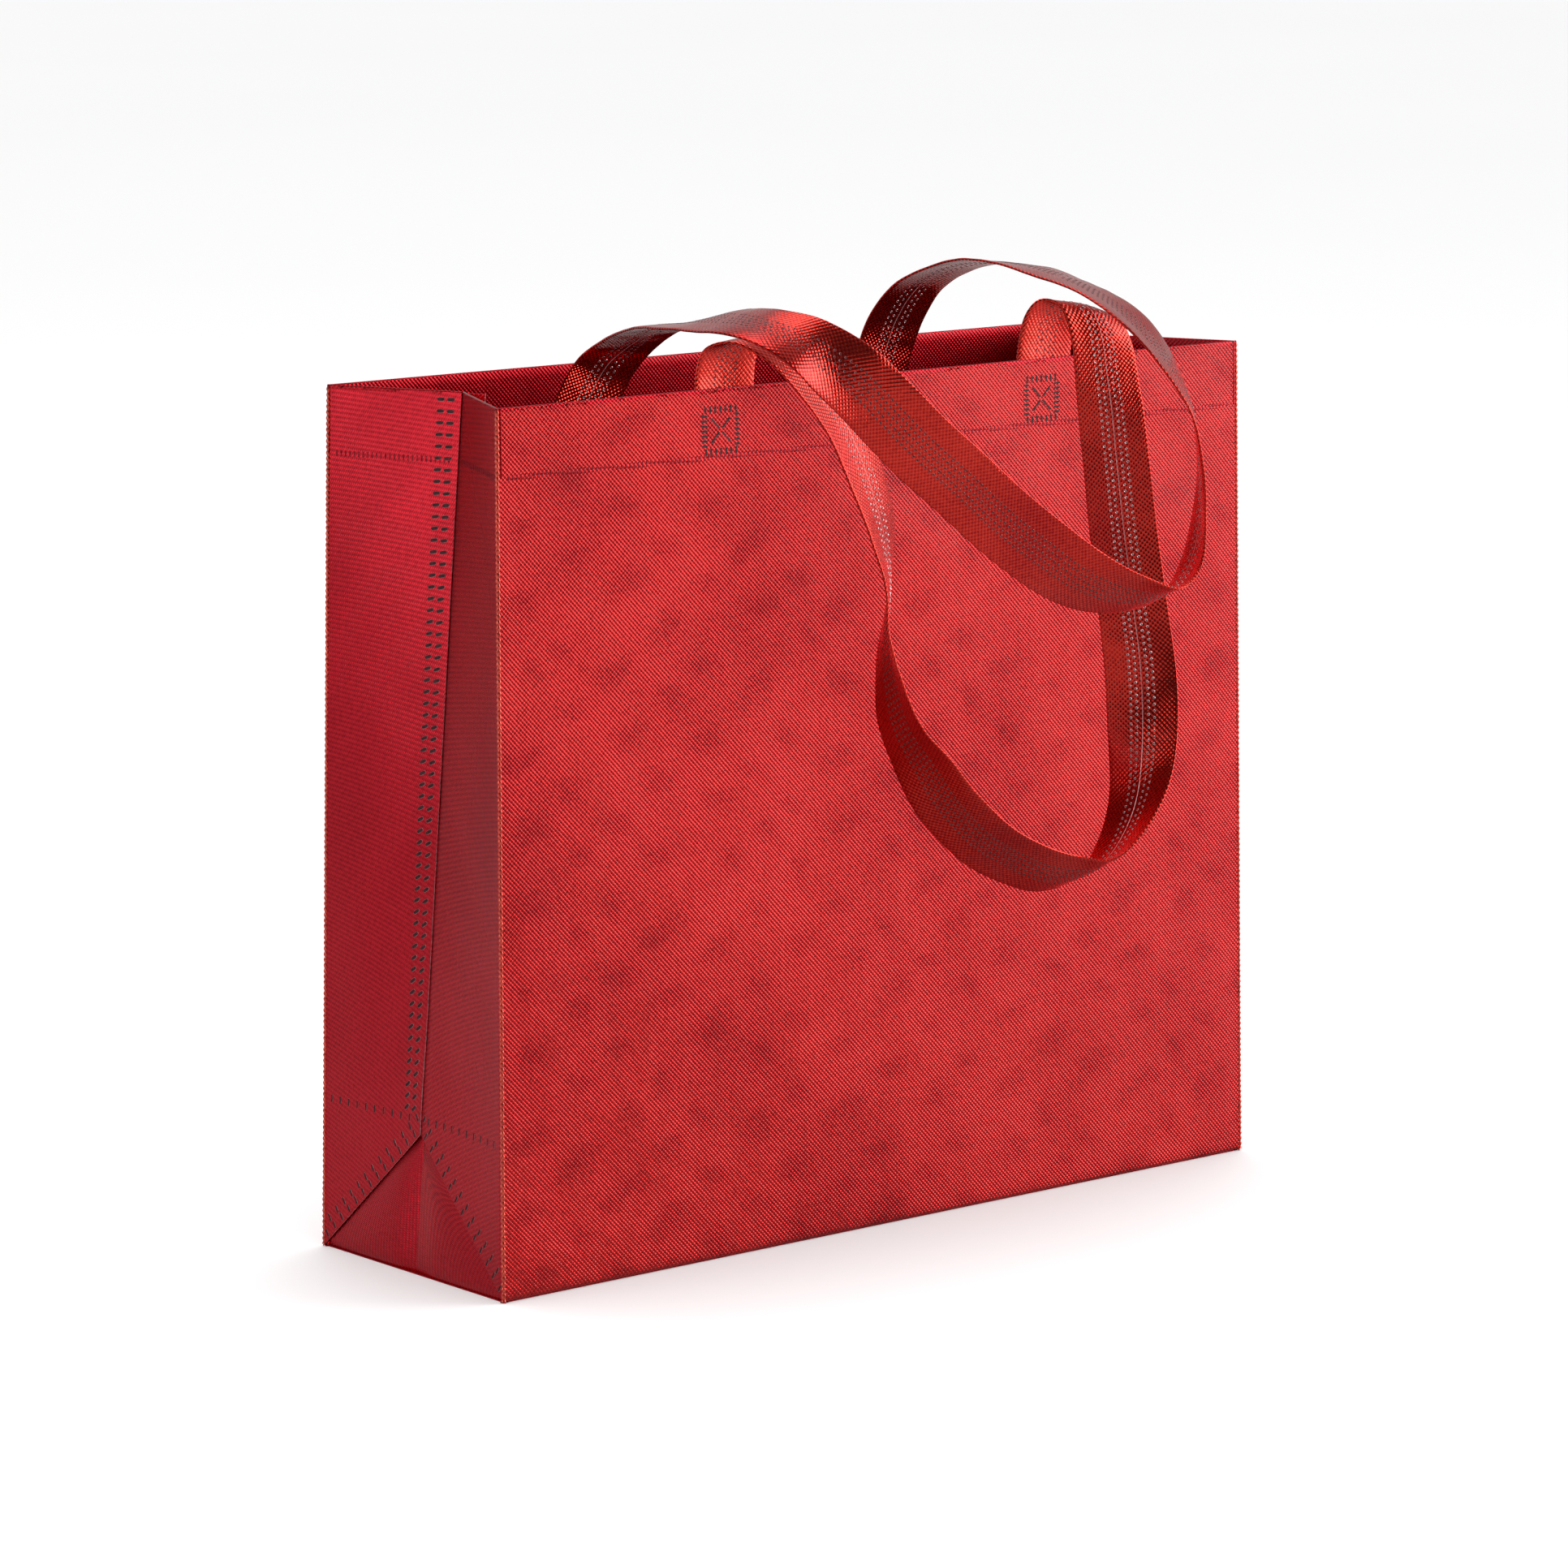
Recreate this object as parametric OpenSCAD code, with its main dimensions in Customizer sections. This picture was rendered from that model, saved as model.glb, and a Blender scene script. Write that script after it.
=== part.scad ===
// Gusseted shopping bag of welded non-woven sheet with two flat strap handles.
// Millimetres, +Z up. Origin at the centre of the base, on the plane it stands on.
// The front panel faces -Y and the back panel faces +Y.

/* [Bag body] */
// Width of the bag at the base
base_w = 400; // [380:1:420]
// Depth of the bag at the base
base_d = 120; // [118:1:124]
// Height of the bag from the base to the rim
body_h = 350; // [330:1:370]
// Width of the bag at the rim
rim_w = 392; // [380:1:400]
// Depth of the bag at the rim
rim_d = 110; // [109:1:112]
// Thickness of one layer of sheet
sheet_t = 0.5; // [0.3:0.1:0.6]

/* [Gussets] */
// How far the centre crease is tucked in at the rim
tuck_rim = 25; // [10:1:40]
// How far the centre crease is tucked in at its foot
tuck_foot = 5; // [2:1:10]
// Height of the base end that is folded up the side
foot_h = 56; // [50:1:60]
// Width of the lap where the two halves of a gusset are joined
lap_w = 10; // [6:1:14]

/* [Hem] */
// Depth of the hem that is folded inside the rim
hem_h = 27; // [20:1:34]

/* [Handles] */
// Width of a handle strap
strap_w = 30; // [26:1:32]
// Thickness of a handle strap, two layers folded flat
strap_t = 1; // [0.8:0.1:1.2]
// Side of the square weld that holds each strap end
weld_w = 20; // [16:1:24]
// Distance from the rim to the top of that weld
weld_drop = 6.5; // [4:0.5:8]
// Width of a welded line
weld_line = 3; // [2:0.5:4]

/* [Hidden] */

// Clearance between neighbouring layers of sheet
gap = 0.1;
// Clearance between two curved layers, whose facets do not line up
curve_gap = 0.4;
// Clearance between stretches of one strap, as a share of a route step
cut = 0.02;
// Height of a weld above the sheet
weld_t = 0.15;
// Grid of a gusset half: steps across and steps up
gusset_across = 3;
gusset_up = 8;
// Steps of a strap for each step of its route
strap_steps = 3;
// Lean of the front and back panels from upright
lean = atan((base_d - rim_d) / 2 / body_h);
// Places of the two strap ends of each handle along X
front_weld_x = [-86, 85];
back_weld_x = [-69, 90];

// Route of the front handle, from its left end to its right end. Each row is a point
// on the strap's centre line, with z counted from the rim, and the direction across it.
front_route = [
  [[-83, -53.3, -31], [10, 0, 0]],
  [[-83, -53.3, -12], [10, 0, 0]],
  [[-82, -53.4, 7], [10, 0, 0]],
  [[-79, -56, 17], [10, 0.5, 0.3]],
  [[-71.5, -62, 19.5], [9.8, 1.8, 0.8]],
  [[-63.5, -67, 15.5], [8.8, 3.8, 3]],
  [[-53, -71, 5], [7.6, 4.4, 4.8]],
  [[-41, -73, -10], [7.6, 4.2, 4.9]],
  [[-31, -74, -28], [8.3, 4.2, 3.8]],
  [[-24, -75, -45], [8.5, 4.4, 2.8]],
  [[-19, -76, -62], [8.3, 5.4, 1.3]],
  [[-17, -77, -80], [7.1, 7.1, 0]],
  [[-18, -77, -100], [5.9, 8.1, 0.1]],
  [[-16, -77, -120], [3.3, 9.4, 1]],
  [[-9, -76, -140], [0, 10, 0.2]],
  [[3, -76, -158], [-2.4, 9.5, -1.8]],
  [[17, -76, -176], [-3.5, 8.8, -3.4]],
  [[35, -76, -192], [-3.2, 8.3, -4.6]],
  [[56, -76, -204], [-2.3, 8, -5.5]],
  [[76, -77, -211], [-0.5, 8.2, -5.7]],
  [[94, -79, -211], [1.6, 9.1, -3.9]],
  [[109, -79, -200], [1.2, 9.7, -2]],
  [[120, -77, -185], [-0.9, 9.9, -1.1]],
  [[126, -74, -164], [-4.6, 8.9, -0.4]],
  [[127.5, -71, -134], [-7.8, 6.2, -0.6]],
  [[123.5, -69, -100], [-9, 4.2, -1.3]],
  [[118.5, -68, -66], [-9.2, 3.7, -1.4]],
  [[114, -68, -36], [-9.4, 3.2, -1.3]],
  [[110.5, -67.5, -12], [-9.7, 2.4, -0.8]],
  [[108, -66, 7], [-9.8, 1.4, 0.6]],
  [[104.5, -62.5, 18.5], [-9.7, 0.8, 1.8]],
  [[96.5, -57, 21.5], [-9.7, 0, 2.2]],
  [[90.5, -54.3, 16], [-9.9, 0, 1.3]],
  [[88, -53.4, 5], [-10, 0, 0.4]],
  [[86, -53.3, -12], [-10, 0, 0]],
  [[85, -53.3, -31], [-10, 0, 0]]
];

// Route of the back handle, from its left end to its right end, in the same form
back_route = [
  [[-75, 53.3, -31], [-8.8, 0, 4.8]],
  [[-67, 53.3, -16], [-8.8, 0, 4.8]],
  [[-58.5, 52.5, -3], [-9.6, 0, 2.8]],
  [[-54.5, 46, 5], [-9.9, 0.5, 1.3]],
  [[-57, 30, 12], [-9.9, 1.1, 0.6]],
  [[-62, 9, 17.5], [-9.9, 1.4, 0]],
  [[-67, -14, 21.5], [-9.8, 1.4, -1]],
  [[-72, -37, 24.5], [-9.7, 0.6, -2]],
  [[-74, -57, 25.5], [-9.5, -1, -2.6]],
  [[-71, -71, 23.5], [-8.9, -2.8, -3.6]],
  [[-63, -80, 18], [-7.5, -3.2, -5.8]],
  [[-52, -84, 9.5], [-6.8, -1.2, -7.2]],
  [[-40, -87, 0], [-6.4, 1.2, -7.6]],
  [[-26, -89, -13], [-6.1, 2.8, -7.4]],
  [[-10, -90, -27], [-5.9, 3.1, -7.4]],
  [[10, -90, -42], [-5.8, 3.1, -7.5]],
  [[32, -90, -59], [-5.5, 3.4, -7.6]],
  [[54, -90, -74], [-4.7, 4.4, -7.6]],
  [[76, -90, -87], [-3.1, 6.3, -7]],
  [[98, -91, -95], [-1.1, 8.2, -5.6]],
  [[115, -92, -98], [0.7, 9.2, -3.9]],
  [[128, -92, -94], [2.9, 9, -3.2]],
  [[136.5, -92, -82], [4.6, 8.7, -1.6]],
  [[139.5, -93, -64], [5.6, 8.2, -0.4]],
  [[139, -93, -43], [6.2, 7.8, 0.2]],
  [[136.5, -91.5, -25], [6.8, 7.3, 0.7]],
  [[130.5, -88, -9], [7.4, 6.7, 0.8]],
  [[123, -81, 6.5], [8.2, 5.7, 0.4]],
  [[117, -69, 18], [9, 4.2, -0.4]],
  [[113.5, -51, 26.5], [9.6, 2.4, -1.1]],
  [[111.5, -30, 31.5], [9.9, 1, -1.4]],
  [[111, -9, 34], [9.9, 0.6, -1.3]],
  [[110, 11, 33.5], [9.9, 0.7, -1]],
  [[107.5, 29, 29.5], [9.9, 1, -1]],
  [[103.5, 42.5, 21.5], [9.8, 1, -1.4]],
  [[99, 50, 10], [9.7, 0.6, -2.2]],
  [[95, 53, -2], [9.6, 0.1, -2.7]],
  [[91, 53.3, -16], [9.6, 0, -2.8]],
  [[87, 53.3, -31], [9.6, 0, -2.8]]
];

// Where each handle leaves the bag and where it bends, as steps along its route
front_stub = [2.4, 32.6];
front_drop = [5.6, 29.8];
back_stub = [2.4, 35.6];
back_rise = [3.6, 34.2];
back_crest = [8.4, 28.8];
back_drop = [10.4, 26.8];

function half_w(z) = (base_w + (rim_w - base_w) * z / body_h) / 2;
function half_d(z) = (base_d + (rim_d - base_d) * z / body_h) / 2;
function unit(v) = v / norm(v);
function mix(a, b, s) = a + (b - a) * s;

// Point between b and c on a smooth curve through a, b, c and d
function curve(a, b, c, d, s) =
  (2 * b + (c - a) * s + (2 * a - 5 * b + 4 * c - d) * s * s + (3 * b - a - 3 * c + d) * s * s * s) / 2;

// Value of column k of a route at step s, where column 0 is the place and 1 the direction
function on_route(route, s, k) =
  let (last = len(route) - 1, i = min(floor(s), last - 1))
  curve(
    route[max(i - 1, 0)][k], route[i][k], route[i + 1][k], route[min(i + 2, last)][k], s - i
  );

function along_route(route, s) =
  unit(on_route(route, min(s + cut, len(route) - 1), 0) - on_route(route, max(s - cut, 0), 0));

// Four corners of the strap's section at step s of a route. Across a tight fold the
// section keeps its direction, so the strap is a little skewed there, as soft sheet is.
function section(route, s) =
  let (
    across = unit(on_route(route, s, 1)) * strap_w / 2,
    out = unit(cross(across, along_route(route, s))) * strap_t / 2,
    middle = on_route(route, s, 0) + [0, 0, body_h]
  )
  [middle - across - out, middle + across - out, middle + across + out, middle - across + out];

// A stretch of strap from step s0 to step s1 of a route
module strap(route, s0, s1) {
  n = ceil((s1 - s0) * strap_steps);
  rings = [for (i = [0:n]) section(route, mix(s0, s1, i / n))];
  sides = [
    for (i = [0:n - 1], j = [0:3])
      let (a = 4 * i + j, b = 4 * i + (j + 1) % 4)
      each [[a, b, b + 4], [a, b + 4, a + 4]]
  ];
  ends = [[3, 2, 1, 0], [4 * n, 4 * n + 1, 4 * n + 2, 4 * n + 3]];
  polyhedron(points = [for (r = rings) each r], faces = concat(sides, ends));
}

// A flat sheet with four corners, clockwise when seen along its thickness d
module flat_sheet(p, d) {
  polyhedron(
    points = concat(p, [for (q = p) q + d]),
    faces = [
      [0, 1, 2, 3], [7, 6, 5, 4],
      [0, 4, 5, 1], [1, 5, 6, 2], [2, 6, 7, 3], [3, 7, 4, 0]
    ]
  );
}

// A curved sheet through a grid of points, thickened by d; turn reverses its faces
module curved_sheet(grid, d, turn) {
  rows = len(grid);
  cols = len(grid[0]);
  n = rows * cols;
  flat = [for (r = grid) each r];
  skin = [
    for (j = [0:rows - 2], i = [0:cols - 2])
      let (a = j * cols + i, b = a + 1, c = a + cols + 1, e = a + cols)
      each [[a, b, c], [a, c, e]]
  ];
  rim = concat(
    [for (i = [0:cols - 2]) [i, i + 1]],
    [for (j = [0:rows - 2]) [j * cols + cols - 1, (j + 1) * cols + cols - 1]],
    [for (i = [cols - 1:-1:1]) [(rows - 1) * cols + i, (rows - 1) * cols + i - 1]],
    [for (j = [rows - 1:-1:1]) [j * cols, (j - 1) * cols]]
  );
  walls = [for (r = rim) each [[r[1], r[0], r[0] + n], [r[1], r[0] + n, r[1] + n]]];
  back = [for (f = skin) [f[2] + n, f[1] + n, f[0] + n]];
  all_faces = concat(skin, back, walls);
  polyhedron(
    points = concat(flat, [for (q = flat) q + d]),
    faces = turn ? [for (f = all_faces) [f[2], f[1], f[0]]] : all_faces
  );
}

// Point of a gusset half: u runs from the panel to the crease and v from foot to rim
function gusset_point(side, face, u, v, inset) =
  let (
    foot_y = base_d / 2 - sheet_t - gap,
    top_y = rim_d / 2 - sheet_t - gap,
    foot = mix([base_w / 2, foot_y, 0], [base_w / 2 - tuck_foot, gap, foot_h], u),
    top = mix([rim_w / 2, top_y, body_h], [rim_w / 2 - tuck_rim, gap, body_h], u),
    p = mix(foot, top, v)
  )
  [side * (p[0] - inset), face * p[1], p[2]];

module gusset_half(side, face, u0, u1, v0, inset) {
  grid = [
    for (j = [0:gusset_up])
      [
        for (i = [0:gusset_across])
          gusset_point(side, face, mix(u0, u1, i / gusset_across), mix(v0, 1, j / gusset_up), inset)
      ]
  ];
  curved_sheet(grid, [-side * sheet_t, 0, 0], side * face > 0);
}

// The lap runs past the crease, in line with the back half and inside the front half
module seam_lap(side) {
  inset = sheet_t + 2 * gap;
  grid = [
    for (j = [0:gusset_up])
      let (
        v = j / gusset_up,
        crease = gusset_point(side, 1, 1, v, inset),
        panel = gusset_point(side, 1, 0, v, inset),
        run = unit([crease[0] - panel[0], crease[1] - panel[1], 0]),
        start = [crease[0], -gap, crease[2]]
      )
      [start, start + run * lap_w]
  ];
  curved_sheet(grid, [-side * sheet_t, 0, 0], side > 0);
}

module panel(face) {
  p = [
    [-base_w / 2, -base_d / 2, 0],
    [-rim_w / 2, -rim_d / 2, body_h],
    [rim_w / 2, -rim_d / 2, body_h],
    [base_w / 2, -base_d / 2, 0]
  ];
  mirror([0, face > 0 ? 1 : 0, 0]) flat_sheet(p, [0, sheet_t, 0]);
}

module panel_hem(face) {
  low = body_h - hem_h;
  step = sheet_t + gap;
  x = half_w(body_h) - 4 * sheet_t;
  p = [
    [-x, step - half_d(low), low],
    [-x, step - half_d(body_h), body_h],
    [x, step - half_d(body_h), body_h],
    [x, step - half_d(low), low]
  ];
  mirror([0, face > 0 ? 1 : 0, 0]) flat_sheet(p, [0, sheet_t, 0]);
}

module gusset_hem(side, face) {
  u_end = face < 0 ? 1 - (lap_w + 2) * 2 / rim_d : 1;
  v_low = 1 - hem_h / body_h;
  gusset_half(side, face, 0.04, u_end, v_low, sheet_t + curve_gap);
}

// Triangle of the base sheet that is folded up the side of the bag
module base_end(side) {
  edge = 1.5;
  y = base_d / 2 - edge - sheet_t;
  corners = [
    [side * base_w / 2, -y, sheet_t + gap],
    [side * (base_w / 2 - tuck_foot), 0, foot_h - edge],
    [side * base_w / 2, y, sheet_t + gap]
  ];
  d = [-side * sheet_t, 0, 0];
  ring = side < 0 ? [corners[2], corners[1], corners[0]] : corners;
  polyhedron(
    points = concat(ring, [for (q = ring) q + d]),
    faces = [[0, 1, 2], [5, 4, 3], [0, 3, 4, 1], [1, 4, 5, 2], [2, 5, 3, 0]]
  );
}

module base_sheet() {
  w = base_w - 2 * (sheet_t + gap);
  d = base_d - 2 * (sheet_t + gap);
  linear_extrude(height = sheet_t) square([w, d], center = true);
}

// Square weld with a cross in it, on the outer face of a panel
module box_weld(x, face) {
  z = body_h - weld_drop - weld_w / 2;
  mirror([0, face > 0 ? 1 : 0, 0])
    translate([x, -half_d(z) - gap / 2, z])
      rotate([90 - lean, 0, 0])
        linear_extrude(height = weld_t) {
          difference() {
            square(weld_w, center = true);
            square(weld_w - 2 * weld_line, center = true);
          }
          intersection() {
            square(weld_w - weld_line, center = true);
            for (turn = [-45, 45])
              rotate(turn) square([2 * weld_w, weld_line / 2], center = true);
          }
        }
}

module front_panel() { color("crimson") panel(-1); }
module back_panel() { color("crimson") panel(1); }
module base_panel() { color("crimson") base_sheet(); }
module left_base_end() { color("firebrick") base_end(-1); }
module right_base_end() { color("firebrick") base_end(1); }
module left_gusset_front() { color("firebrick") gusset_half(-1, -1, 0, 1, 0, 0); }
module left_gusset_back() { color("firebrick") gusset_half(-1, 1, 0, 1, 0, 0); }
module right_gusset_front() { color("firebrick") gusset_half(1, -1, 0, 1, 0, 0); }
module right_gusset_back() { color("firebrick") gusset_half(1, 1, 0, 1, 0, 0); }
module left_seam_lap() { color("brown") seam_lap(-1); }
module right_seam_lap() { color("brown") seam_lap(1); }
module front_hem() { color("brown") panel_hem(-1); }
module back_hem() { color("brown") panel_hem(1); }
module left_hem_front() { color("brown") gusset_hem(-1, -1); }
module left_hem_back() { color("brown") gusset_hem(-1, 1); }
module right_hem_front() { color("brown") gusset_hem(1, -1); }
module right_hem_back() { color("brown") gusset_hem(1, 1); }
module front_left_tab() { color("crimson") strap(front_route, 0, front_stub[0] - cut); }
module front_right_tab() { color("crimson") strap(front_route, front_stub[1] + cut, 35); }
module back_left_tab() { color("crimson") strap(back_route, 0, back_stub[0] - cut); }
module back_right_tab() { color("crimson") strap(back_route, back_stub[1] + cut, 38); }
module front_left_weld() { color("dimgray") box_weld(front_weld_x[0], -1); }
module front_right_weld() { color("dimgray") box_weld(front_weld_x[1], -1); }
module back_left_weld() { color("dimgray") box_weld(back_weld_x[0], 1); }
module back_right_weld() { color("dimgray") box_weld(back_weld_x[1], 1); }
module front_left_fold() { color("crimson") strap(front_route, front_stub[0], front_drop[0]); }
module front_right_fold() { color("crimson") strap(front_route, front_drop[1], front_stub[1]); }
module back_left_fold() { color("crimson") strap(back_route, back_stub[0], back_rise[0]); }
module back_right_fold() { color("crimson") strap(back_route, back_rise[1], back_stub[1]); }
module front_handle() {
  color("crimson") strap(front_route, front_drop[0] + cut, front_drop[1] - cut);
}
module back_left_arch() {
  color("crimson") strap(back_route, back_rise[0] + cut, back_crest[0] - cut);
}
module back_right_arch() {
  color("crimson") strap(back_route, back_crest[1] + cut, back_rise[1] - cut);
}
module back_left_bend() { color("crimson") strap(back_route, back_crest[0], back_drop[0]); }
module back_right_bend() { color("crimson") strap(back_route, back_drop[1], back_crest[1]); }
module back_handle() {
  color("crimson") strap(back_route, back_drop[0] + cut, back_drop[1] - cut);
}

front_panel();
back_panel();
base_panel();
left_base_end();
right_base_end();
left_gusset_front();
left_gusset_back();
right_gusset_front();
right_gusset_back();
left_seam_lap();
right_seam_lap();
front_hem();
back_hem();
left_hem_front();
left_hem_back();
right_hem_front();
right_hem_back();
front_left_tab();
front_right_tab();
back_left_tab();
back_right_tab();
front_left_weld();
front_right_weld();
back_left_weld();
back_right_weld();
front_left_fold();
front_right_fold();
back_left_fold();
back_right_fold();
front_handle();
back_left_arch();
back_right_arch();
back_left_bend();
back_right_bend();
back_handle();
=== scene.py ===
import math

import bpy
import numpy as np
from mathutils import Matrix, Vector


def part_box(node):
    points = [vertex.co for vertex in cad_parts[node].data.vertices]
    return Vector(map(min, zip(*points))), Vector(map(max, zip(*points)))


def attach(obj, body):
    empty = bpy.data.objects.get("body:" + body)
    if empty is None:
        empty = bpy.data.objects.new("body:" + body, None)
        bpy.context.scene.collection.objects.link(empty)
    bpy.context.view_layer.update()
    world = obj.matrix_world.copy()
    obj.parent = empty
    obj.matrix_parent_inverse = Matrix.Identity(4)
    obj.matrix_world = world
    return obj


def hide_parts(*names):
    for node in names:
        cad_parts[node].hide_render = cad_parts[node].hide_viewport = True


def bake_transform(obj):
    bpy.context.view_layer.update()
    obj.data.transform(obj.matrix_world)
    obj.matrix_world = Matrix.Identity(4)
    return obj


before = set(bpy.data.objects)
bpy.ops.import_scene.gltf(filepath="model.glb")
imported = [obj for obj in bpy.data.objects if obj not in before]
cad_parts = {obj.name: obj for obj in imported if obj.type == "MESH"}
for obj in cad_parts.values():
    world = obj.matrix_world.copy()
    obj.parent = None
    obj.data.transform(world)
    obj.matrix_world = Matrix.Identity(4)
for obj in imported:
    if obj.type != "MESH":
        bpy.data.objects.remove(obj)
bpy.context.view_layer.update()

MM = 0.001
UP = np.array([0.0, 0.0, 1.0])
BACK = np.array([0.0, 1.0, 0.0])

# ---------------------------------------------------------------- sizes of the bag
panel_low, panel_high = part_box("front_panel")
HALF_W = panel_high.x
HALF_D = -panel_low.y
RIM = panel_high.z
RIM_HALF_W = 0.98 * HALF_W
RIM_HALF_D = 55 * MM
SHEET = 0.4 * MM
RIM_ROLL = 0.5 * MM
BASE_ROLL = 2.2 * MM
HEM_H = 27 * MM
FOOT_H = 56 * MM
TUCK_RIM = 25 * MM
TUCK_FOOT = 5 * MM
STRAP_W = 30 * MM
WELD_Z = RIM - 16.5 * MM

# ---------------------------------------------------------------- camera
VIEW_AZ = math.radians(-40.03)
VIEW_EL = math.radians(10.04)
VIEW_DISTANCE = 2527 * MM
VIEW_SIDE_STEP = -5.25 * MM
LENS_MM = 140.5


def add_camera():
    away = Vector((
        math.sin(VIEW_AZ) * math.cos(VIEW_EL),
        -math.cos(VIEW_AZ) * math.cos(VIEW_EL),
        math.sin(VIEW_EL),
    ))
    right = Vector((math.cos(VIEW_AZ), math.sin(VIEW_AZ), 0))
    data = bpy.data.cameras.new("camera")
    data.lens = LENS_MM
    data.sensor_width = 36
    data.clip_end = 60
    camera = bpy.data.objects.new("camera", data)
    bpy.context.scene.collection.objects.link(camera)
    turn = Matrix((right, away.cross(right), away)).transposed()
    centre = Vector((0, 0, RIM / 2))
    place = centre + away * VIEW_DISTANCE + right * VIEW_SIDE_STEP
    camera.matrix_world = Matrix.Translation(place) @ turn.to_4x4()
    bpy.context.scene.camera = camera


add_camera()


# ---------------------------------------------------------------- small helpers
def unit(v):
    return v / np.maximum(np.linalg.norm(v, axis=-1, keepdims=True), 1e-12)


def mix(a, b, s):
    return a + (b - a) * s


def ease(low, high, x):
    t = np.clip((x - low) / (high - low), 0, 1)
    return t * t * (3 - 2 * t)


def waves(seed, length, a, b):
    """Smooth random waves of about one length, mostly between -1 and 1."""
    rng = np.random.default_rng(seed)
    total = 0
    for angle, phase, stretch in rng.uniform((0, 0, 0.75), (2 * math.pi, 2 * math.pi, 1.35), (8, 3)):
        k = 2 * math.pi / (length * stretch)
        total = total + np.sin(k * (a * math.cos(angle) + b * math.sin(angle)) + phase)
    return total / 4


def half_w(z):
    return mix(HALF_W, RIM_HALF_W, z / RIM)


def half_d(z):
    return mix(HALF_D, RIM_HALF_D, z / RIM)


# ---------------------------------------------------------------- materials
class Material:
    """A node material with short calls for its nodes."""

    def __init__(self, name):
        self.material = bpy.data.materials.new(name)
        self.material.use_nodes = True
        self.tree = self.material.node_tree
        self.shader = self.tree.nodes["Principled BSDF"]

    def node(self, kind, *inputs, out=0, **settings):
        made = self.tree.nodes.new(kind)
        for key, value in settings.items():
            setattr(made, key, value)
        for socket, value in zip(made.inputs, inputs):
            self.put(socket, value)
        return made.outputs[out]

    def put(self, socket, value):
        if isinstance(value, bpy.types.NodeSocket):
            self.tree.links.new(value, socket)
        elif value is not None:
            socket.default_value = value

    def math(self, operation, *inputs):
        return self.node("ShaderNodeMath", *inputs, operation=operation)

    def mapped(self, value, low, high, to_low, to_high):
        return self.node("ShaderNodeMapRange", value, low, high, to_low, to_high,
                         interpolation_type="SMOOTHSTEP")

    def noise(self, vector, scale, detail=2.0, rough=0.5):
        made = self.tree.nodes.new("ShaderNodeTexNoise")
        self.put(made.inputs["Vector"], vector)
        made.inputs["Scale"].default_value = scale
        made.inputs["Detail"].default_value = detail
        made.inputs["Roughness"].default_value = rough
        return made.outputs[0]

    def colour(self, share, a, b):
        made = self.tree.nodes.new("ShaderNodeMix")
        made.data_type = "RGBA"
        self.put(made.inputs[0], share)
        self.put(made.inputs[6], a)
        self.put(made.inputs[7], b)
        return made.outputs[2]

    def set(self, **values):
        for name, value in values.items():
            self.put(self.shader.inputs[name.replace("_", " ")], value)

    def bump(self, height, distance):
        made = self.tree.nodes.new("ShaderNodeBump")
        made.inputs["Strength"].default_value = 1.0
        made.inputs["Distance"].default_value = distance
        self.put(made.inputs["Height"], height)
        self.put(self.shader.inputs["Normal"], made.outputs[0])


PATCH_PERIOD_ACROSS = 46 * MM
PATCH_PERIOD_UP = 30 * MM
STREAK_SCALE = (260.0, 760.0, 1.0)
# Size of the painted glints on the film
GLINT_SCALE = 520
CLOUD_SCALE = 9


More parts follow.
